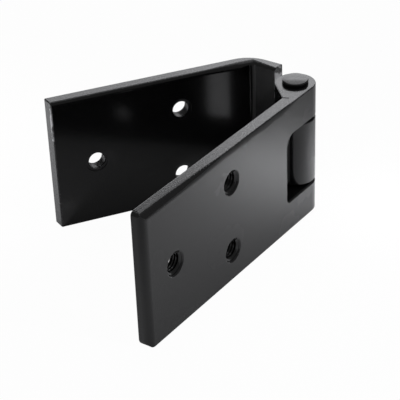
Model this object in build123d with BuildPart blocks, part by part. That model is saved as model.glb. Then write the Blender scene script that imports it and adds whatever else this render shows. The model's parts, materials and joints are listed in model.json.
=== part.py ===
from build123d import *
import math
import os

# Bolt-on door hinge, millimetres.
# The pin's axis is +Z through the origin, and both leaves stand on Z = 0.
# The door leaf runs along -X, and its outer face looks along -Y.
# The pillar leaf stands behind it, opened by the rest angle.

# Strap sizes shared by both leaves
leaf_height = 50.0
plate_thickness = 4.8
knuckle_radius = 7.1
edge_radius = 0.35

# Hinge pin, pressed into the door leaf and free in the pillar leaf
pin_radius = 4.0
press_interference = 0.01
running_clearance = 0.05
pin_end_recess = 0.4
pin_end_chamfer = 0.5
head_radius = 4.4
head_height = 1.2
dome_height = 0.4
head_rim_chamfer = 0.25

# Door leaf: length from the pin's axis, and how far round the pin its strap is rolled
door_leaf_length = 97.8
door_roll_turn = 226.0
door_top_corner = 1.6
door_bottom_corner = 2.6

# Cutout between the door leaf's two knuckles
cutout_reach = 16.3
cutout_bottom = 11.7
cutout_top = 37.8
cutout_top_corner = 4.2
cutout_bottom_corner = 1.5
cutout_rim_chamfer = 0.5

# Pillar leaf: opening at rest, distance from the pin's axis to the plate's inner face,
# and free end measured along the plate
rest_opening = 33.5
plate_offset = 21.2
pillar_leaf_length = 82.8
pillar_end_slant = 0.95
pillar_end_radius = 0.5

# Web between the pillar leaf's plate and its knuckle: its inner face leans past the pin,
# its outer face runs square to the door leaf down to a shoulder, and on to touch the knuckle
web_inner_reach = 4.0
web_lean = 5.0
web_outer_reach = 9.6
shoulder_height = 9.0
shoulder_radius = 4.0
pillar_roll_end = 119.0
bend_inner_radius = 2.5
bend_outer_radius = 12.0

# Ears: where the web is cut back over and under the pillar leaf's knuckle
ear_reach = 11.95
notch_radius = 2.5
gap_below = 0.9
gap_above = 0.7

# Seam where a rolled strap's end meets its own plate or web
seam_width = 0.35
seam_depth = 2.4
seam_lean = 22.0

# Tapped holes, two in a column and one beyond it on each leaf
thread_radius = 4.0
column_spacing = 26.2
single_spacing = 32.2
door_column_reach = 50.6
door_hole_height = 24.4
pillar_column_reach = 34.7
pillar_hole_height = 23.9
mouth_chamfer = 0.5
back_chamfer = 0.2

# Edges rolled over by the shears: width across the thickness, and drop down the face
door_top_roll = (3.1, 2.8)
door_quick_roll = (0.6, 2.2)
door_end_roll = (2.6, 2.3)
pillar_top_roll = (1.0, 1.8)
pillar_bend_roll = (1.9, 2.3)
faded_roll = (0.12, 0.12)
door_roll_start = 8.0
door_roll_quick = 20.0
door_roll_widens = 56.0
door_roll_full = 92.0
pillar_roll_wide = 12.0
pillar_roll_settled = 25.0
cutter_margin = 1.0

os.makedirs("parts", exist_ok=True)


def edge_plane(origin, across, along):
    """Plane on a sharp edge: X across the thickness, and Y down or along the face."""
    return Plane(origin=origin, x_dir=across, z_dir=Vector(across).cross(Vector(along)))


def rolled_edge(sections):
    """Solid taken off a sharp edge, lofted through sections of (plane, (width, drop))."""
    with BuildPart() as cutter:
        for plane, (width, drop) in sections:
            with BuildSketch(plane):
                with BuildLine():
                    EllipticalCenterArc((width, drop), width, drop, start_angle=180, arc_size=90)
                    Polyline(
                        (width, 0),
                        (width, -cutter_margin),
                        (-cutter_margin, -cutter_margin),
                        (-cutter_margin, drop),
                        (0, drop),
                    )
                make_face()
        loft(ruled=True)
    return cutter.part


def meet(point, way, face_point, face_normal):
    """Point where a line leaves a face: from point along way to the plane of the face."""
    run = (face_point - point).dot(face_normal) / way.dot(face_normal)
    return point + way * run


def seam_plane(foot, normal, toward_pin):
    """Plane with its X along the seam, from the strap's inner face into the metal."""
    lean = math.radians(seam_lean)
    return Plane(origin=foot, x_dir=toward_pin * math.sin(lean) - normal * math.cos(lean))


def hole_places(reach, height):
    """The three tapped holes of a leaf, as (distance along the plate, height)."""
    return [
        (reach, height + column_spacing / 2),
        (reach, height - column_spacing / 2),
        (reach + single_spacing, height),
    ]


up = Vector(0, 0, 1)

# Rolled-over edges of the door leaf's outer face
door_inner_y = plate_thickness - knuckle_radius
door_across = Vector(0, 1, 0)
door_outward = Vector(-1, 0, 0)


def door_edge_at(reach, height, along):
    """Edge plane on the door leaf's outer face, at a distance from the pin's axis."""
    return edge_plane(Vector(-reach, -knuckle_radius, height), door_across, along)


door_top_cutter = rolled_edge(
    [
        (door_edge_at(door_roll_start, leaf_height, -up), faded_roll),
        (door_edge_at(door_roll_quick, leaf_height, -up), door_quick_roll),
        (door_edge_at(door_roll_widens, leaf_height, -up), door_quick_roll),
        (door_edge_at(door_roll_full, leaf_height, -up), door_top_roll),
        (door_edge_at(door_leaf_length + cutter_margin, leaf_height, -up), door_top_roll),
    ]
)
door_end_cutter = rolled_edge(
    [
        (door_edge_at(door_leaf_length, -cutter_margin, -door_outward), door_end_roll),
        (door_edge_at(door_leaf_length, leaf_height + cutter_margin, -door_outward), door_end_roll),
    ]
)

# Door leaf: flat plate, strap rolled round the pin, and a straight tail back to the plate
with BuildPart() as door_leaf:
    with BuildSketch():
        with BuildLine():
            door_face_line = Line((-door_leaf_length, -knuckle_radius), (0, -knuckle_radius))
            door_roll = JernArc(door_face_line @ 1, door_face_line % 1, knuckle_radius, door_roll_turn)
            door_foot = meet(door_roll @ 1, door_roll % 1, Vector(0, door_inner_y), door_across)
            Line(door_roll @ 1, door_foot)
            Polyline(door_foot, (-door_leaf_length, door_inner_y), door_face_line @ 0)
        make_face()
    extrude(amount=leaf_height)
    door_end_edges = door_leaf.edges().filter_by(Axis.Y).group_by(Axis.X)[0].sort_by(Axis.Z)
    fillet(door_end_edges[-1], door_top_corner)
    door_end_edges = door_leaf.edges().filter_by(Axis.Y).group_by(Axis.X)[0].sort_by(Axis.Z)
    fillet(door_end_edges[0], door_bottom_corner)
    door_flat_edges = door_leaf.faces().filter_by(Axis.Z).edges()
    fillet(door_flat_edges - door_flat_edges.group_by(Axis.X)[0], edge_radius)

    with BuildSketch(Plane.XZ):
        with Locations((-cutout_reach, cutout_bottom)):
            Rectangle(
                cutout_reach + knuckle_radius + cutter_margin,
                cutout_top - cutout_bottom,
                align=Align.MIN,
            )
        fillet(vertices().sort_by_distance((-cutout_reach, cutout_top))[0], cutout_top_corner)
        fillet(vertices().sort_by_distance((-cutout_reach, cutout_bottom))[0], cutout_bottom_corner)
    extrude(amount=knuckle_radius + cutter_margin, both=True, mode=Mode.SUBTRACT)
    cutout_rim = edges().filter_by_position(
        Axis.X, -cutout_reach - cutter_margin, -cutout_reach + cutter_margin
    ).filter_by_position(Axis.Y, -knuckle_radius - edge_radius, -knuckle_radius + edge_radius)
    chamfer(cutout_rim, cutout_rim_chamfer)

    add(door_top_cutter, mode=Mode.SUBTRACT)
    add(door_end_cutter, mode=Mode.SUBTRACT)

    with BuildSketch(seam_plane(door_foot, door_across, -door_outward)):
        with Locations((-seam_width, 0)):
            Rectangle(seam_depth + seam_width, seam_width, align=(Align.MIN, Align.CENTER))
    extrude(amount=leaf_height, mode=Mode.SUBTRACT)

    with Locations(Plane(origin=(0, -knuckle_radius, 0), x_dir=-door_outward, z_dir=-door_across)):
        door_holes = hole_places(door_column_reach, door_hole_height)
        with Locations(*[(-reach, height) for reach, height in door_holes]):
            Hole(thread_radius)
    door_mouths = edges().filter_by(GeomType.CIRCLE).filter_by(lambda e: math.isclose(e.radius, thread_radius))
    chamfer(door_mouths.group_by(Axis.Y)[0], mouth_chamfer)
    chamfer(door_mouths.group_by(Axis.Y)[-1], back_chamfer)

    with BuildSketch():
        Circle(pin_radius - press_interference)
    extrude(amount=leaf_height, mode=Mode.SUBTRACT)

# Pillar leaf directions: away from the pin along the plate, and from its inner to its outer face
plate_way = Vector(1, 0, 0).rotate(Axis.Z, 180 - rest_opening)
plate_across = plate_way.rotate(Axis.Z, -90)
web_way = Vector(0, 1, 0).rotate(Axis.Z, -web_lean)
web_outward = web_way.rotate(Axis.Z, -90)
web_inner_start = web_outward * web_inner_reach


def plate_point(reach, depth=0.0, height=0.0):
    """Point of the pillar plate, by distance along it, depth behind its inner face, and height."""
    return plate_way * reach + plate_across * (plate_offset + depth) + up * height


# Corners where the web meets the plate, before they are rounded
inner_bend = meet(web_inner_start, web_way, plate_point(0), plate_across)
shoulder = Vector(web_outer_reach, shoulder_height)
outer_bend = meet(shoulder, Vector(0, 1), plate_point(0, plate_thickness), plate_across)

# Where the web's outer face, below its shoulder, touches the rolled strap
touch_angle = math.degrees(
    math.atan2(shoulder.Y, shoulder.X) - math.acos(knuckle_radius / shoulder.length)
)
touch_point = Vector(knuckle_radius, 0).rotate(Axis.Z, touch_angle)
touch_way = (shoulder - touch_point).normalized()
pillar_roll_turn = 360 - pillar_roll_end + touch_angle

# Rolled-over edges of the pillar leaf's inner face, mitred where the web meets the plate
mitre_half_turn = math.radians(web_way.get_angle(plate_way) / 2)
mitre_across = (web_outward + plate_across).normalized()
mitre_point = inner_bend - mitre_across * bend_inner_radius * (1 / math.cos(mitre_half_turn) - 1)
mitre_roll = (pillar_bend_roll[0] / math.cos(mitre_half_turn), pillar_bend_roll[1])
web_roll_start = web_inner_start + web_way * (ear_reach - cutter_margin)
pillar_top_cutter = rolled_edge(
    [
        (edge_plane(point + up * leaf_height, across, -up), roll)
        for point, across, roll in (
            (web_roll_start, web_outward, pillar_top_roll),
            (mitre_point, mitre_across, mitre_roll),
            (plate_point(pillar_roll_wide), plate_across, pillar_bend_roll),
            (plate_point(pillar_roll_settled), plate_across, pillar_top_roll),
            (plate_point(pillar_leaf_length), plate_across, pillar_top_roll),
        )
    ]
)
# Pillar leaf: plate, bend, web, and a strap rolled round the pin
pillar_knuckle_bottom = cutout_bottom + gap_below
pillar_knuckle_top = cutout_top - gap_above
notch_length = ear_reach + 2 * knuckle_radius
notch_width = 4 * knuckle_radius
upper_notch_height = leaf_height - pillar_knuckle_top + cutter_margin
lower_notch_height = pillar_knuckle_bottom + cutter_margin
with BuildPart() as pillar_leaf:
    with BuildSketch():
        with BuildLine():
            pillar_roll = JernArc(touch_point, -touch_way, knuckle_radius, -pillar_roll_turn)
            pillar_foot = meet(pillar_roll @ 1, pillar_roll % 1, web_inner_start, web_outward)
            Polyline(
                pillar_roll @ 1,
                pillar_foot,
                inner_bend,
                plate_point(pillar_leaf_length - pillar_end_slant),
                plate_point(pillar_leaf_length, plate_thickness),
                outer_bend,
                shoulder,
                touch_point,
            )
        make_face()
        fillet(vertices().sort_by_distance(inner_bend)[0], bend_inner_radius)
        fillet(vertices().sort_by_distance(outer_bend)[0], bend_outer_radius)
        fillet(vertices().sort_by_distance(shoulder)[0], shoulder_radius)
        fillet(vertices().sort_by_distance(plate_point(pillar_leaf_length))[:2], pillar_end_radius)
    extrude(amount=leaf_height)
    pillar_flats = pillar_leaf.faces().filter_by(Axis.Z)
    fillet(pillar_flats.edges(), edge_radius)

    with BuildSketch(Plane(origin=(0, 0, 0), x_dir=web_way, z_dir=web_outward)):
        with Locations((ear_reach, pillar_knuckle_top)):
            Rectangle(notch_length, upper_notch_height, align=(Align.MAX, Align.MIN))
        with Locations((ear_reach, pillar_knuckle_bottom)):
            Rectangle(notch_length, lower_notch_height, align=Align.MAX)
        for corner_height in (pillar_knuckle_top, pillar_knuckle_bottom):
            fillet(vertices().sort_by_distance((ear_reach, corner_height))[0], notch_radius)
    extrude(amount=notch_width / 2, both=True, mode=Mode.SUBTRACT)

    add(pillar_top_cutter, mode=Mode.SUBTRACT)

    with BuildSketch(seam_plane(pillar_foot, -web_outward, -web_way)):
        with Locations((-seam_width, 0)):
            Rectangle(seam_depth + seam_width, seam_width, align=(Align.MIN, Align.CENTER))
    extrude(amount=leaf_height, mode=Mode.SUBTRACT)

    with Locations(Plane(origin=plate_point(0), x_dir=plate_way, z_dir=plate_way.cross(up))):
        with Locations(*hole_places(pillar_column_reach, pillar_hole_height)):
            Hole(thread_radius)
    pillar_mouths = edges().filter_by(GeomType.CIRCLE).filter_by(lambda e: math.isclose(e.radius, thread_radius))
    across_axis = Axis((0, 0, 0), plate_across)
    chamfer(pillar_mouths.group_by(across_axis)[0], back_chamfer)
    chamfer(pillar_mouths.group_by(across_axis)[-1], mouth_chamfer)

    with BuildSketch():
        Circle(pin_radius + running_clearance)
    extrude(amount=leaf_height, mode=Mode.SUBTRACT)

# Hinge pin: plain shank with a low domed head that sits on the upper knuckle
head_top = leaf_height + head_height
with BuildPart() as hinge_pin:
    with BuildSketch(Plane.XZ):
        with BuildLine():
            Polyline(
                (0, head_top + dome_height),
                (0, pin_end_recess),
                (pin_radius - pin_end_chamfer, pin_end_recess),
                (pin_radius, pin_end_recess + pin_end_chamfer),
                (pin_radius, leaf_height),
                (head_radius, leaf_height),
                (head_radius, head_top),
            )
            TangentArc((0, head_top + dome_height), (head_radius, head_top), tangent=(1, 0))
        make_face()
        chamfer(vertices().sort_by_distance((head_radius, head_top))[0], head_rim_chamfer)
    revolve(axis=Axis.Z)

door_leaf.part.label = "door_leaf"
pillar_leaf.part.label = "pillar_leaf"
hinge_pin.part.label = "hinge_pin"
export_step(door_leaf.part, "parts/door_leaf.step")
export_step(pillar_leaf.part, "parts/pillar_leaf.step")
export_step(hinge_pin.part, "parts/hinge_pin.step")
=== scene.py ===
"""Bolt-on strap door hinge in black paint, dressed and lit on a plain pale floor."""

import json
import logging
import math
from collections.abc import Callable
from dataclasses import dataclass, field, replace
from enum import Enum

import bpy
from mathutils import Matrix, Vector


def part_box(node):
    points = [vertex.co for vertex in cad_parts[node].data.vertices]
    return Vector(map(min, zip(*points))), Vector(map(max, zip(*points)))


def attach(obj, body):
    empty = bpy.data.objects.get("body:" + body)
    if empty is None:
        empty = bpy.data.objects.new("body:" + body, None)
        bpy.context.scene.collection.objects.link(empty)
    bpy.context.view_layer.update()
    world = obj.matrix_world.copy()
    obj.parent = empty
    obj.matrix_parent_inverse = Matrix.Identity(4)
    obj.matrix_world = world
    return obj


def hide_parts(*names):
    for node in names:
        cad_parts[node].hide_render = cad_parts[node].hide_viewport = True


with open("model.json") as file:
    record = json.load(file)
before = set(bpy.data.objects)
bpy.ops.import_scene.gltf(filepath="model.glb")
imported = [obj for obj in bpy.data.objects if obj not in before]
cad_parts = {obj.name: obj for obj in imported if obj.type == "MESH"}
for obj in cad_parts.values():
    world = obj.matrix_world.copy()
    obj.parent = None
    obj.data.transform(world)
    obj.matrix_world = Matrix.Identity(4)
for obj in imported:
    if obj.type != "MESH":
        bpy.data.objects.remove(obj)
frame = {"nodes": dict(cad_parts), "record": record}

log = logging.getLogger("hinge")

MM = 0.001
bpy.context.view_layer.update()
LIGHT_TINT = (0.965, 0.97, 1.0)
MERGE_REACH = 0.0005 * MM
TRIM_REACH = 0.0001 * MM

Colour = tuple[float, float, float]
Socket = bpy.types.NodeSocket
Value = float | Socket


class Leaf(Enum):
    """The two leaves, by the name of their CAD node."""

    DOOR = "door_leaf"
    PILLAR = "pillar_leaf"


class Body(Enum):
    """The two bodies that the hinge's joint connects."""

    DOOR_SIDE = "door_side"
    PILLAR_SIDE = "pillar_side"


class PaintSlot(Enum):
    """Material slots of the record."""

    LEAF = "leaf_paint"
    PIN = "pin_paint"


# Materials


@dataclass(frozen=True)
class Ramp:
    """A smooth step: from low to high, a value becomes start to end."""

    low: float
    high: float
    start: float = 0.0
    end: float = 1.0


class NodeBench:
    """Short calls for building one material's node tree."""

    def __init__(self, name: str) -> None:
        """Starts an empty material.

        Args:
            name: Name of the material.
        """
        self.material = bpy.data.materials.new(name)
        self.material.use_nodes = True
        self.tree = self.material.node_tree
        self.tree.nodes.clear()

    def add(
        self, kind: str, settings: dict[str, object] | None = None, **inputs: object
    ) -> bpy.types.Node:
        """Adds a node, sets its properties and fills or links its inputs.

        Args:
            kind: Blender's name of the node type.
            settings: Properties of the node.
            **inputs: Sockets by name, with _ for a space. A socket as value is linked.

        Returns:
            The new node.
        """
        node = self.tree.nodes.new(kind)
        for key, value in (settings or {}).items():
            setattr(node, key, value)
        for key, value in inputs.items():
            self.feed(node.inputs[key.replace("_", " ")], value)
        return node

    def feed(self, socket: Socket, value: object) -> None:
        """Links an input to another socket, or sets its own value.

        Args:
            socket: The input.
            value: A socket to link, or the value to set.
        """
        if isinstance(value, Socket):
            self.tree.links.new(value, socket)
        else:
            socket.default_value = value

    def maths(self, operation: str, *values: Value) -> Socket:
        """Adds a Math node.

        Args:
            operation: Name of the operation.
            *values: Numbers, or sockets to link.

        Returns:
            The node's output.
        """
        node = self.add("ShaderNodeMath", {"operation": operation})
        for socket, value in zip(node.inputs, values):
            self.feed(socket, value)
        return node.outputs["Value"]

    def mix(self, share: Value, none: Socket | Colour, full: Socket | Colour) -> Socket:
        """Mixes two colours.

        Args:
            share: How much of the second one there is.
            none: Colour where the share is 0.
            full: Colour where the share is 1.

        Returns:
            The mixed colour.
        """
        node = self.add("ShaderNodeMix", {"data_type": "RGBA"}, Factor=share)
        inputs = [socket for socket in node.inputs if socket.type == "RGBA"]
        for socket, colour in zip(inputs, (none, full)):
            self.feed(socket, colour if isinstance(colour, Socket) else (*colour, 1.0))
        return next(socket for socket in node.outputs if socket.type == "RGBA")

    def ramp(self, value: Socket, ramp: Ramp) -> Socket:
        """Maps a value smoothly and holds it at both ends of the ramp.

        Args:
            value: What is mapped.
            ramp: What it becomes.

        Returns:
            The mapped value.
        """
        node = self.add(
            "ShaderNodeMapRange",
            {"interpolation_type": "SMOOTHSTEP"},
            Value=value,
            From_Min=ramp.low,
            From_Max=ramp.high,
            To_Min=ramp.start,
            To_Max=ramp.end,
        )
        return node.outputs["Result"]

    def noise(self, position: Socket, pitch: float, detail: float) -> Socket:
        """Adds noise whose features are about pitch metres wide.

        Args:
            position: Coordinates in metres.
            pitch: Size of the features.
            detail: Octaves of finer noise.

        Returns:
            A value around 0.5.
        """
        node = self.add(
            "ShaderNodeTexNoise",
            {"noise_dimensions": "3D"},
            Vector=position,
            Scale=1.0 / pitch,
            Detail=detail,
        )
        return node.outputs["Fac"]

    def bump(self, height: Socket, distance: float, normal: Socket) -> Socket:
        """Lays relief over a normal.

        Args:
            height: The relief, from 0 to 1.
            distance: Its full height in metres.
            normal: Normal beneath it.

        Returns:
            The new normal.
        """
        node = self.add("ShaderNodeBump", Strength=1.0, Distance=distance, Height=height, Normal=normal)
        return node.outputs["Normal"]

    def finish(self, surface: Socket) -> bpy.types.Material:
        """Links the surface and returns the material."""
        output = self.add("ShaderNodeOutputMaterial")
        self.tree.links.new(surface, output.inputs["Surface"])
        return self.material


@dataclass(frozen=True)
class CutZone:
    """All that lies beyond an upright plane, and above one height or below another.

    The plane faces along bearing_deg, counted from +X, at reach from the pin's axis.
    """

    bearing_deg: float
    reach: float
    above: float = 0.0
    below: float = 0.0
    half_fade: float = 0.1 * MM

    def mask(self, bench: NodeBench, place: Socket, height: Socket) -> Socket:
        """Marks the zone.

        Args:
            bench: The material's bench.
            place: Object coordinates in metres.
            height: Their Z part.

        Returns:
            1 inside the zone, 0 elsewhere.
        """
        turn = math.radians(self.bearing_deg)
        along = bench.add("ShaderNodeVectorMath", {"operation": "DOT_PRODUCT"})
        bench.feed(along.inputs[0], place)
        bench.feed(along.inputs[1], (math.cos(turn), math.sin(turn), 0.0))
        edge = Ramp(self.reach - self.half_fade, self.reach + self.half_fade)
        beyond = bench.ramp(along.outputs["Value"], edge)
        over = bench.maths("GREATER_THAN", height, self.above)
        under = bench.maths("LESS_THAN", height, self.below)
        return bench.maths("MULTIPLY", beyond, bench.maths("MAXIMUM", over, under))


@dataclass(frozen=True)
class BlackPaint:
    """Black paint dipped over steel: a glossy film that follows the metal's own grain.

    Sheared faces show their grain: the upper and lower edges, and the cuts. Within
    pooled_radius of the pin's axis the paint has pooled on both edges and covers it. Each
    pair of zones that takes steel flecks holds a face and the part of it where metallic
    steel flecks are scattered: a painted highlight where the rounded cut edge catches the light.
    """

    name: str
    colour: Colour
    worn_colour: Colour
    film_roughness: float
    peel_pitch: float
    peel_height: float
    mottle_pitch: float
    grain_pitch: float
    grain_height: float
    sheared_below: float
    sheared_above: float
    edge_softness: float
    pooled_radius: float
    film_weight: float = 1.0
    film_ior: float = 1.6
    ground_gloss: float = 0.06
    ground_roughness: Ramp = Ramp(0.3, 0.7, 0.25, 0.36)
    worn_share: Ramp = Ramp(0.52, 0.72)
    mottle_detail: float = 4.0
    grain_detail: float = 3.0
    peel_detail: float = 1.0
    shear_fade: float = 0.2 * MM
    pooled_fade: float = 1.0 * MM
    edge_samples: int = 6
    cuts: tuple[CutZone, ...] = ()
    # Painted highlight: metallic steel flecks on rounded cut edges, with their noise and colour.
    highlight_fleck_zones: tuple[tuple[CutZone, CutZone], ...] = ()
    highlight_fleck_pitch: float = 2.6 * MM
    highlight_fleck_detail: float = 2.0
    highlight_fleck_share: Ramp = Ramp(0.4, 0.6, 0.0, 0.8)
    steel: Colour = (0.6, 0.6, 0.61)

    def shears(self, bench: NodeBench, place: Socket, height: Socket) -> Socket:
        """Finds the sheared faces.

        Args:
            bench: The material's bench.
            place: Object coordinates in metres.
            height: Their Z part.

        Returns:
            1 where the cut's grain shows, 0 elsewhere.
        """
        above, below, fade = self.sheared_above, self.sheared_below, self.shear_fade
        over = bench.ramp(height, Ramp(above - fade, above))
        under = bench.ramp(height, Ramp(below, below + fade, 1.0, 0.0))
        flat = bench.add("ShaderNodeVectorMath", {"operation": "MULTIPLY"})
        bench.feed(flat.inputs[0], place)
        bench.feed(flat.inputs[1], (1.0, 1.0, 0.0))
        from_pin = bench.add("ShaderNodeVectorMath", {"operation": "LENGTH"})
        bench.feed(from_pin.inputs[0], flat.outputs["Vector"])
        pooled = Ramp(self.pooled_radius, self.pooled_radius + self.pooled_fade)
        dry = bench.ramp(from_pin.outputs["Value"], pooled)
        sheared = bench.maths("MULTIPLY", bench.maths("MAXIMUM", over, under), dry)
        for cut in self.cuts:
            sheared = bench.maths("MAXIMUM", sheared, cut.mask(bench, place, height))
        return sheared

    def highlight_flecks(self, bench: NodeBench, place: Socket, height: Socket) -> Value:
        """Scatters small metallic steel flecks over the listed parts of the cuts: a painted highlight
        where the rounded cut edges catch the light.

        Args:
            bench: The material's bench.
            place: Object coordinates in metres.
            height: Their Z part.

        Returns:
            The share of the steel flecks that make the painted highlight.
        """
        steel_highlight_share = 0.0
        for face, part in self.highlight_fleck_zones:
            noise = bench.noise(place, self.highlight_fleck_pitch, self.highlight_fleck_detail)
            highlight_spots = bench.ramp(noise, self.highlight_fleck_share)
            for zone in (face, part):
                highlight_spots = bench.maths("MULTIPLY", highlight_spots, zone.mask(bench, place, height))
            steel_highlight_share = bench.maths("MAXIMUM", steel_highlight_share, highlight_spots)
        return steel_highlight_share

    def material(self) -> bpy.types.Material:
        """Builds the paint.

        Returns:
            The material, which reads Object coordinates in metres.
        """
        bench = NodeBench(self.name)
        place = bench.add("ShaderNodeTexCoord").outputs["Object"]
        height = bench.add("ShaderNodeSeparateXYZ", Vector=place).outputs["Z"]
        sheared = self.shears(bench, place, height)
        mottle = bench.noise(place, self.mottle_pitch, self.mottle_detail)
        grain = bench.noise(place, self.grain_pitch, self.grain_detail)
        peel = bench.noise(place, self.peel_pitch, self.peel_detail)

        worn = bench.maths("MULTIPLY", sheared, bench.ramp(grain, self.worn_share))
        colour = bench.mix(worn, self.colour, self.worn_colour)
        # Metallic steel flecks on the rounded cut edges: a painted highlight.
        steel_highlight_share = self.highlight_flecks(bench, place, height)
        if self.highlight_fleck_zones:
            colour = bench.mix(steel_highlight_share, colour, self.steel)

        edges = bench.add("ShaderNodeBevel", {"samples": self.edge_samples}, Radius=self.edge_softness)
        relief = bench.bump(peel, self.peel_height, edges.outputs["Normal"])
        relief = bench.bump(bench.maths("MULTIPLY", grain, sheared), self.grain_height, relief)
        shader = bench.add(
            "ShaderNodeBsdfPrincipled",
            Base_Color=colour,
            Metallic=steel_highlight_share,
            Roughness=bench.ramp(mottle, self.ground_roughness),
            Specular_IOR_Level=self.ground_gloss,
            Normal=relief,
            Coat_Weight=self.film_weight,
            Coat_Roughness=self.film_roughness,
            Coat_IOR=self.film_ior,
            Coat_Normal=relief,
        )
        return bench.finish(shader.outputs["BSDF"])


DOOR_PAINT = BlackPaint(
    name="black_door_leaf_paint",
    colour=(0.0022, 0.0022, 0.0025),
    worn_colour=(0.14, 0.14, 0.142),
    film_roughness=0.13,
    peel_pitch=1.6 * MM,
    peel_height=0.006 * MM,
    mottle_pitch=14.0 * MM,
    grain_pitch=0.45 * MM,
    grain_height=0.035 * MM,
    sheared_below=0.1 * MM,
    sheared_above=49.85 * MM,
    edge_softness=0.35 * MM,
    pooled_radius=6.0 * MM,
)

# Bearings of the pillar leaf's faces: the plate's free end and inner face, the ears' ends
# and the web's inner face. The ears stand above and below the centre knuckle.
PLATE_END = 146.5
PLATE_INSIDE = 236.5
EAR_END = 265.0
WEB_INSIDE = 175.0
UPPER_EAR = 38.5 * MM
LOWER_EAR = 10.5 * MM
PILLAR_PAINT = replace(
    DOOR_PAINT,
    name="black_pillar_leaf_paint",
    film_roughness=0.15,
    cuts=(
        CutZone(PLATE_END, 81.3 * MM),
        CutZone(EAR_END, -12.15 * MM, above=UPPER_EAR, below=LOWER_EAR),
    ),
    # Painted highlight: metallic steel flecks on the plate's free end and the ear's end, where these
    # rounded edges catch the light.
    highlight_fleck_zones=(
        (CutZone(PLATE_END, 81.6 * MM, above=35.0 * MM), CutZone(PLATE_INSIDE, -22.4 * MM)),
        (CutZone(EAR_END, -12.15 * MM, above=UPPER_EAR), CutZone(WEB_INSIDE, -8.0 * MM)),
    ),
)
THREAD_PAINT = replace(
    DOOR_PAINT, name="black_thread_paint", film_roughness=0.1, edge_softness=0.05 * MM
)
PIN_PAINT = BlackPaint(
    name="black_pin_paint",
    colour=(0.003, 0.0029, 0.0034),
    worn_colour=(0.03, 0.03, 0.031),
    film_roughness=0.15,
    peel_pitch=1.2 * MM,
    peel_height=0.004 * MM,
    mottle_pitch=5.0 * MM,
    grain_pitch=0.5 * MM,
    grain_height=0.004 * MM,
    sheared_below=0.5 * MM,
    sheared_above=70.0 * MM,
    edge_softness=0.15 * MM,
    pooled_radius=0.0,
)


# Modelling helpers


def start_piece(name: str) -> bpy.types.Object:
    """Names the primitive that has just been added.

    Args:
        name: Name of the piece.

    Returns:
        The active object.
    """
    piece = bpy.context.active_object
    piece.name = name
    piece.data.name = name
    return piece


def select_only(piece: bpy.types.Object) -> None:
    """Selects one object and makes it active."""
    bpy.ops.object.select_all(action="DESELECT")
    piece.select_set(True)
    bpy.context.view_layer.objects.active = piece


def settle(piece: bpy.types.Object) -> None:
    """Puts the piece's place into its mesh, so that its object sits at the origin."""
    select_only(piece)
    bpy.ops.object.transform_apply(location=True, rotation=True, scale=True)


def pick_vertices(piece: bpy.types.Object, wanted: Callable[[Vector], bool]) -> None:
    """Selects vertices of the active piece by their place, in edit mode.

    Args:
        piece: The piece that is being edited.
        wanted: Test on a vertex's place.
    """
    bpy.ops.mesh.select_mode(type="VERT")
    bpy.ops.mesh.select_all(action="DESELECT")
    bpy.ops.object.mode_set(mode="OBJECT")
    for vertex in piece.data.vertices:
        vertex.select = wanted(vertex.co)
    bpy.ops.object.mode_set(mode="EDIT")


def apply_modifiers(piece: bpy.types.Object) -> None:
    """Applies all of a piece's modifiers in their order."""
    select_only(piece)
    for modifier in list(piece.modifiers):
        bpy.ops.object.modifier_apply(modifier=modifier.name)


def close_up(piece: bpy.types.Object, smooth_deg: float) -> None:
    """Merges doubles, turns all faces outwards and smooths the shading.

    Args:
        piece: The piece.
        smooth_deg: Angle up to which the shading runs smoothly over an edge.
    """
    select_only(piece)
    bpy.ops.object.mode_set(mode="EDIT")
    bpy.ops.mesh.select_all(action="SELECT")
    bpy.ops.mesh.remove_doubles(threshold=MERGE_REACH)
    bpy.ops.mesh.normals_make_consistent(inside=False)
    bpy.ops.object.mode_set(mode="OBJECT")
    bpy.ops.object.shade_smooth_by_angle(angle=math.radians(smooth_deg))


def dress(piece: bpy.types.Object, paint: bpy.types.Material) -> None:
    """Gives a piece one material."""
    piece.data.materials.clear()
    piece.data.materials.append(paint)


# Pieces


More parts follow.
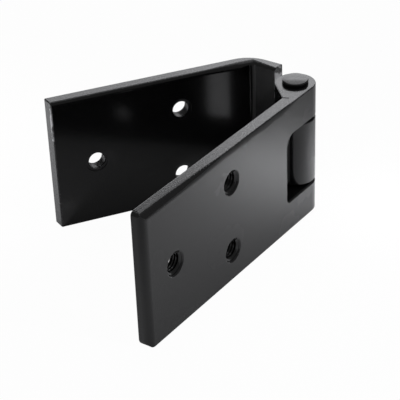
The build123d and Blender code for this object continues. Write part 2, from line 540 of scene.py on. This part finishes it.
@dataclass
class TappedThread:
    """The thread in one tapped hole: a helical ridge on the hole's plain wall.

    It is built along Z, with its mouth at Z = 0, and then put in place. The ridge is
    foot_share of the pitch wide at the wall and crest_share of it at its crest.
    """

    name: str
    middle: Vector
    axis: Vector
    body: Body
    tapered: bool
    wall_length: float = 4.1 * MM
    outside_radius: float = 4.0 * MM
    ridge_height: float = 1.0 * MM
    pitch: float = 1.0 * MM
    foot_share: float = 0.86
    crest_share: float = 0.42
    sink: float = 0.03 * MM
    start_deg: float = 180.0
    spare_turns: int = 2
    steps: int = 56
    smooth_deg: float = 25.0

    def build(self) -> bpy.types.Object:
        """Sweeps the ridge's section up a helix and trims it at both ends of the wall.

        Returns:
            The thread, in place.
        """
        piece = self.section()
        sweep = piece.modifiers.new("helix", "SCREW")
        sweep.axis = "Z"
        sweep.angle = 2 * math.pi
        sweep.screw_offset = self.pitch
        sweep.iterations = math.ceil(self.wall_length / self.pitch) + self.spare_turns
        sweep.steps = self.steps
        sweep.render_steps = self.steps
        sweep.use_smooth_shade = False
        apply_modifiers(piece)

        bpy.ops.object.mode_set(mode="EDIT")
        for height, side in ((0.0, -1), (self.wall_length, 1)):
            bpy.ops.mesh.select_all(action="SELECT")
            bpy.ops.mesh.bisect(
                plane_co=(0, 0, height),
                plane_no=(0, 0, side),
                use_fill=True,
                clear_outer=True,
                threshold=TRIM_REACH,
            )
        bpy.ops.object.mode_set(mode="OBJECT")
        if self.tapered:
            self.taper(piece)
        close_up(piece, self.smooth_deg)
        mouth = Matrix.Translation(self.middle + self.axis * self.wall_length / 2)
        turn = Vector((0, 0, -1)).rotation_difference(self.axis).to_matrix().to_4x4()
        start = Matrix.Rotation(math.radians(self.start_deg), 4, "Z")
        piece.matrix_world = mouth @ turn @ start
        settle(piece)
        return piece

    def section(self) -> bpy.types.Object:
        """Draws the outline of the ridge's section, one pitch below the mouth.

        Returns:
            The outline, which has no face.
        """
        depth = self.ridge_height + self.sink
        middle = self.outside_radius + self.sink - depth / 2
        bpy.ops.object.select_all(action="DESELECT")
        bpy.ops.mesh.primitive_plane_add(
            size=1.0, location=(middle, 0, -self.pitch), rotation=(math.pi / 2, 0, 0)
        )
        piece = start_piece(self.name)
        piece.scale = (depth, self.pitch * self.foot_share, 1.0)
        settle(piece)
        bpy.ops.object.mode_set(mode="EDIT")
        pick_vertices(piece, lambda place: place.x < middle)
        narrowing = self.crest_share / self.foot_share
        bpy.ops.transform.resize(value=(1, 1, narrowing), center_override=(0, 0, -self.pitch))
        bpy.ops.mesh.select_all(action="SELECT")
        bpy.ops.mesh.delete(type="ONLY_FACE")
        bpy.ops.object.mode_set(mode="OBJECT")
        return piece

    def taper(self, piece: bpy.types.Object) -> None:
        """Pushes the ridge back to a 45 degree cone that goes on from the mouth's chamfer."""
        for vertex in piece.data.vertices:
            reach = vertex.co.xy.length
            cone = self.outside_radius - vertex.co.z
            if reach < cone:
                vertex.co.xy *= cone / reach

    def fit(self, paint: bpy.types.Material) -> bpy.types.Object:
        """Builds the thread, paints it and lets it ride on its leaf.

        Args:
            paint: The leaf's paint.

        Returns:
            The finished thread.
        """
        piece = self.build()
        dress(piece, paint)
        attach(piece, self.body.value)
        log.info("%s: %d faces", piece.name, len(piece.data.polygons))
        return piece


@dataclass
class PaintedLeaf:
    """One leaf of the hinge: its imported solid, painted, with a thread in each tapped hole."""

    leaf: Leaf
    body: Body
    holes: dict[str, tuple[Vector, Vector]] = field(default_factory=dict)

    def read_holes(self, record: dict) -> None:
        """Takes the tapped holes from the record's mounts.

        Args:
            record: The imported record.
        """
        side = self.leaf.value.split("_")[0]
        for mount in record["mounts"]:
            if mount["kind"] == "threaded_hole" and mount["name"].startswith(side):
                self.holes[mount["name"]] = (Vector(mount["pos_m"]), Vector(mount["axis"]).normalized())

    def dress(self, paint: bpy.types.Material, thread_paint: bpy.types.Material) -> None:
        """Paints the leaf and fits its threads.

        Args:
            paint: The leaf's paint.
            thread_paint: The same paint on the fine threads.
        """
        solid = frame["nodes"][self.leaf.value]
        dress(solid, paint)
        tapered = self.leaf is Leaf.DOOR
        for name, (middle, axis) in self.holes.items():
            thread = TappedThread(name.replace("bolt", "thread"), middle, axis, self.body, tapered)
            thread.fit(thread_paint)
        log.info("%s: painted, %d threads", self.leaf.value, len(self.holes))


@dataclass
class DomedPin:
    """The hinge pin: a turned shank with a cold-headed, softly rounded dome."""

    radius: float = 4.0 * MM
    end_chamfer: float = 0.5 * MM
    head_radius: float = 4.6 * MM
    head_height: float = 1.35 * MM
    dome_height: float = 0.25 * MM
    rim_rounding: float = 0.9 * MM
    rim_segments: int = 5
    rim_angle_deg: float = 40.0
    dome_rings: int = 10
    tip_share: float = 0.02
    sides: int = 96
    smooth_deg: float = 30.0

    def build(self) -> bpy.types.Object:
        """Extrudes the pin upwards from the end of its shank and rounds its head.

        Returns:
            The pin, in place.
        """
        low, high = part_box("hinge_pin")
        seat = high.z - self.dome_height - self.head_height
        bpy.ops.object.select_all(action="DESELECT")
        bpy.ops.mesh.primitive_circle_add(
            vertices=self.sides,
            radius=self.radius - self.end_chamfer,
            fill_type="NGON",
            location=(0, 0, low.z),
        )
        piece = start_piece("pin_with_domed_head")
        settle(piece)
        bpy.ops.object.mode_set(mode="EDIT")
        bpy.ops.mesh.select_all(action="SELECT")
        self.grow(self.end_chamfer, self.radius / (self.radius - self.end_chamfer))
        self.grow(seat - low.z - self.end_chamfer, 1.0)
        self.grow(0.0, self.head_radius / self.radius)
        self.grow(self.head_height, 1.0)
        sphere = (self.head_radius**2 + self.dome_height**2) / (2 * self.dome_height)
        reach, rise = self.head_radius, 0.0
        for ring in range(1, self.dome_rings):
            next_reach = self.head_radius * (1 - ring / self.dome_rings)
            next_rise = math.sqrt(sphere**2 - next_reach**2) - (sphere - self.dome_height)
            self.grow(next_rise - rise, next_reach / reach)
            reach, rise = next_reach, next_rise
        self.grow(self.dome_height - rise, self.tip_share)
        bpy.ops.object.mode_set(mode="OBJECT")
        rounding = piece.modifiers.new("rim", "BEVEL")
        rounding.width = self.rim_rounding
        rounding.segments = self.rim_segments
        rounding.limit_method = "ANGLE"
        rounding.angle_limit = math.radians(self.rim_angle_deg)
        apply_modifiers(piece)
        close_up(piece, self.smooth_deg)
        return piece

    @staticmethod
    def grow(rise: float, spread: float) -> None:
        """Extrudes the selected end upwards and then scales it about the pin's axis.

        Args:
            rise: Height of the step.
            spread: Scale of the new end across the axis.
        """
        bpy.ops.mesh.extrude_region_move(TRANSFORM_OT_translate={"value": (0, 0, rise)})
        bpy.ops.transform.resize(value=(spread, spread, 1), center_override=(0, 0, 0))

    def fit(self, paint: bpy.types.Material) -> bpy.types.Object:
        """Builds the pin in place of its plain solid and paints it.

        Args:
            paint: The pin's paint.

        Returns:
            The finished pin.
        """
        piece = self.build()
        dress(piece, paint)
        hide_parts("hinge_pin")
        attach(piece, Body.DOOR_SIDE.value)
        log.info("%s: %d faces", piece.name, len(piece.data.polygons))
        return piece


# Studio


@dataclass(frozen=True)
class Lamp:
    """Where a lamp hangs, seen from the point that it faces, and how bright it is."""

    name: str
    azimuth_deg: float
    elevation_deg: float
    distance: float
    brightness: float

    def hang(self, data: bpy.types.Light, target: Vector) -> bpy.types.Object:
        """Adds the lamp.

        Args:
            data: The light.
            target: Point that it faces.

        Returns:
            The lamp.
        """
        turn, lift = math.radians(self.azimuth_deg), math.radians(self.elevation_deg)
        away = Vector((math.cos(turn) * math.cos(lift), math.sin(turn) * math.cos(lift), math.sin(lift)))
        data.color = LIGHT_TINT
        lamp = bpy.data.objects.new(self.name, data)
        lamp.location = target + away * self.distance
        lamp.rotation_euler = (-away).to_track_quat("-Z", "Y").to_euler()
        bpy.context.scene.collection.objects.link(lamp)
        return lamp


@dataclass(frozen=True)
class SoftBox(Lamp):
    """A soft lamp that looks at the hinge. At brightness 1 it looks white."""

    width: float
    height: float

    def place(self, target: Vector) -> bpy.types.Object:
        """Adds the lamp.

        Args:
            target: Point that the lamp faces.

        Returns:
            The lamp.
        """
        data = bpy.data.lights.new(self.name, "AREA")
        data.shape = "RECTANGLE"
        data.size = self.width
        data.size_y = self.height
        data.energy = self.brightness * math.pi * self.width * self.height
        return self.hang(data, target)


@dataclass(frozen=True)
class FloorPool(Lamp):
    """A soft round pool of light on the floor, which the upright paint mirrors."""

    middle: tuple[float, float]
    radius: float
    softness: float = 0.02

    def place(self) -> bpy.types.Object:
        """Adds the lamp, which lights the floor but is not itself mirrored.

        Returns:
            The lamp.
        """
        lift = math.radians(self.elevation_deg)
        data = bpy.data.lights.new(self.name, "SPOT")
        data.spot_size = 2 * math.atan(self.radius / self.distance)
        data.spot_blend = 1.0
        data.shadow_soft_size = self.softness
        data.energy = self.brightness * 4 * math.pi**2 * self.distance**2 / math.sin(lift)
        lamp = self.hang(data, Vector((*self.middle, 0.0)))
        lamp.visible_glossy = False
        return lamp


@dataclass
class Studio:
    """White floor and surroundings, soft lamps, and the camera of the reference view."""

    floor_side: float = 6.0
    floor_albedo: float = 0.82
    floor_glow_share: float = 0.975
    room_light: float = 0.2
    lamps: tuple[SoftBox, ...] = (
        SoftBox("backdrop", 40.0, 17.0, 1.5, 1.4, width=2.0, height=0.78),
        SoftBox("high_right", 19.0, 42.0, 1.5, 0.85, width=0.75, height=0.8),
        SoftBox("overhead", 36.0, 84.0, 1.2, 0.45, width=1.2, height=1.2),
    )
    pools: tuple[FloorPool, ...] = (
        FloorPool("pool_core", -60.0, 60.0, 0.6, 1.15, middle=(0.021, -0.036), radius=0.027),
        FloorPool("pool_halo", -60.0, 60.0, 0.6, 0.32, middle=(0.017, -0.036), radius=0.060),
        FloorPool("right_wash", -60.0, 60.0, 0.6, 0.1, middle=(0.070, -0.020), radius=0.050),
        FloorPool("front_wash", -80.0, 40.0, 0.6, 0.27, middle=(-0.045, -0.045), radius=0.120),
        FloorPool("back_wash", 100.0, 60.0, 0.6, 0.6, middle=(-0.055, 0.155), radius=0.100),
    )
    target: Vector = field(default_factory=lambda: Vector((-0.03, 0.015, 0.025)))
    frame_pixels: float = 400.0
    sensor_mm: float = 36.0
    focal_pixels: float = 1483.83
    eye: Vector = field(default_factory=lambda: Vector((-0.39011, -0.24089, 0.28451)))
    yaw_deg: float = -53.997
    pitch_deg: float = 31.547
    roll_deg: float = 2.271

    def lay_floor(self) -> None:
        """Adds the pale floor, which stays white to the camera and keeps the hinge's shadow."""
        bpy.ops.object.select_all(action="DESELECT")
        bpy.ops.mesh.primitive_plane_add(size=self.floor_side, location=(0, 0, 0))
        floor = start_piece("floor")
        settle(floor)
        bench = NodeBench("pale_floor")
        rays = bench.add("ShaderNodeLightPath")
        seen = bench.maths("MULTIPLY", rays.outputs["Is Camera Ray"], self.floor_glow_share)
        white = (self.floor_albedo, self.floor_albedo, self.floor_albedo, 1.0)
        matt = bench.add("ShaderNodeBsdfDiffuse", Color=white)
        glow = bench.add("ShaderNodeEmission", Color=(1, 1, 1, 1), Strength=1.0)
        mixed = bench.add("ShaderNodeMixShader", Fac=seen)
        bench.tree.links.new(matt.outputs[0], mixed.inputs[1])
        bench.tree.links.new(glow.outputs[0], mixed.inputs[2])
        dress(floor, bench.finish(mixed.outputs[0]))

    def surround(self) -> None:
        """Makes the world white to the camera, and a plain grey room to all else."""
        world = bpy.data.worlds.new("white_surround")
        bpy.context.scene.world = world
        world.use_nodes = True
        tree = world.node_tree
        tree.nodes.clear()
        rays = tree.nodes.new("ShaderNodeLightPath")
        level = tree.nodes.new("ShaderNodeMapRange")
        level.inputs["To Min"].default_value = self.room_light
        level.inputs["To Max"].default_value = 1.0
        tree.links.new(rays.outputs["Is Camera Ray"], level.inputs["Value"])
        light = tree.nodes.new("ShaderNodeBackground")
        tree.links.new(level.outputs[0], light.inputs["Strength"])
        output = tree.nodes.new("ShaderNodeOutputWorld")
        tree.links.new(light.outputs[0], output.inputs["Surface"])

    def aim_camera(self) -> None:
        """Adds the camera at the reference view's place and angle."""
        data = bpy.data.cameras.new("reference_view")
        data.sensor_width = self.sensor_mm
        data.lens = self.focal_pixels / self.frame_pixels * self.sensor_mm
        camera = bpy.data.objects.new("reference_view", data)
        turn = Matrix.Rotation(math.radians(self.yaw_deg), 4, "Z")
        tilt = Matrix.Rotation(math.radians(90 - self.pitch_deg), 4, "X")
        roll = Matrix.Rotation(math.radians(-self.roll_deg), 4, "Z")
        camera.matrix_world = Matrix.Translation(self.eye) @ turn @ tilt @ roll
        bpy.context.scene.collection.objects.link(camera)
        bpy.context.scene.camera = camera

    def build(self) -> None:
        """Sets up the floor, the surroundings, the lamps and the camera."""
        bpy.context.scene.view_settings.view_transform = "Standard"
        self.lay_floor()
        self.surround()
        for lamp in self.lamps:
            lamp.place(self.target)
        for pool in self.pools:
            pool.place()
        self.aim_camera()
        log.info("studio: %d lamps", len(self.lamps) + len(self.pools))


def main() -> None:
    """Dresses the leaves, builds the pin and sets up the studio."""
    logging.basicConfig(level=logging.INFO, format="%(name)s %(message)s")
    thread_paint = THREAD_PAINT.material()
    for leaf, body, paint in (
        (Leaf.DOOR, Body.DOOR_SIDE, DOOR_PAINT),
        (Leaf.PILLAR, Body.PILLAR_SIDE, PILLAR_PAINT),
    ):
        part = PaintedLeaf(leaf, body)
        part.read_holes(frame["record"])
        part.dress(paint.material(), thread_paint)
    DomedPin().fit(PIN_PAINT.material())
    Studio().build()


if __name__ == "__main__":
    main()
